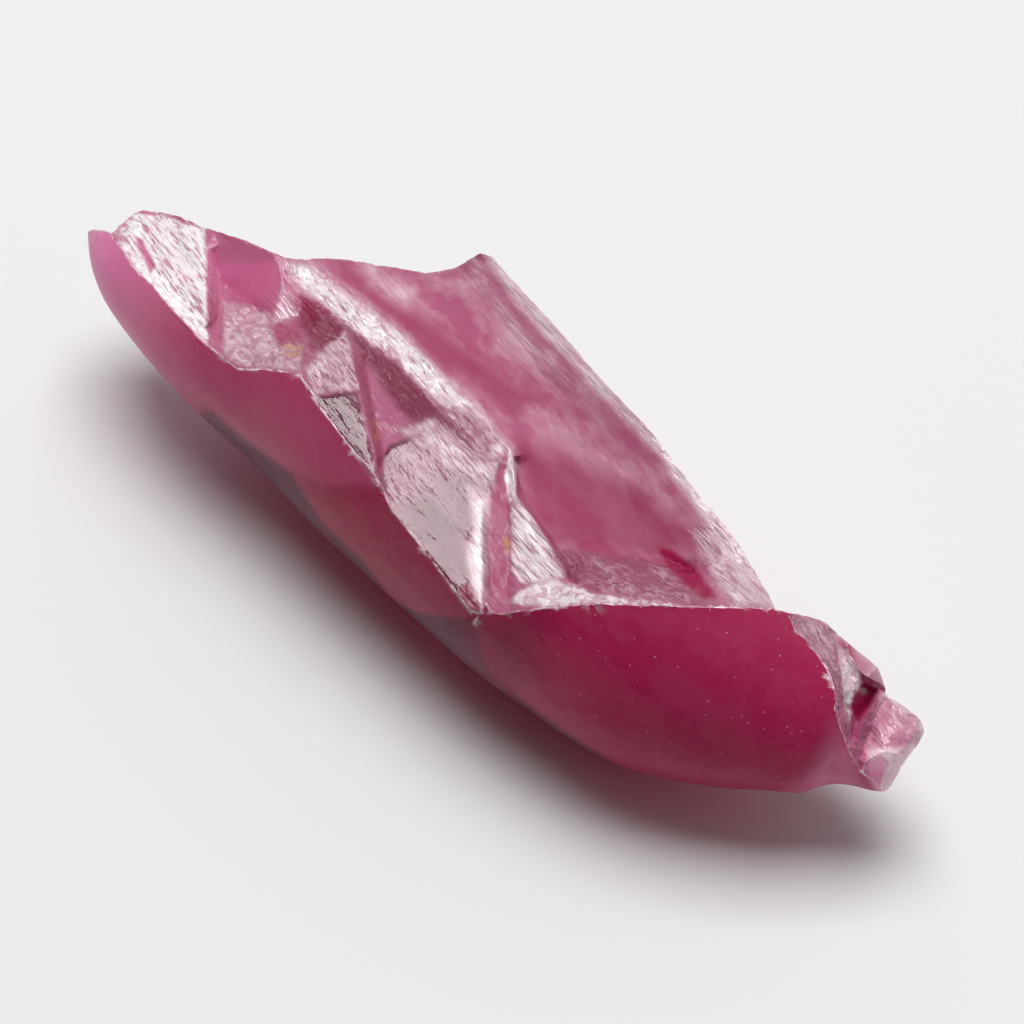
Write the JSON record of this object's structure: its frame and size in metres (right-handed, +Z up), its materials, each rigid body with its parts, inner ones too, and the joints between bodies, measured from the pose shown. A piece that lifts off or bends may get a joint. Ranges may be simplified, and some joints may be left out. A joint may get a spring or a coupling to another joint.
{
  "type": "raw ruby crystal",
  "caption": "Raw ruby piece split from a drop-grown boule: smooth frosted belly, broken stepped top with a long straight edge, chipped shoulder and a short stem.",
  "frame": {"origin": "bottom centre of the stone's box, on the surface it rests on", "axes": "+X along the stone towards the stem, +Y across it towards the long straight edge of the break, +Z up"},
  "size_m": [0.0494, 0.0172, 0.0123],
  "materials": {
    "ruby": "clear, frosted skin with glassy broken faces"
  },
  "bodies": {
    "root": {"ruby_crystal": "ruby"}
  },
  "joints": []
}
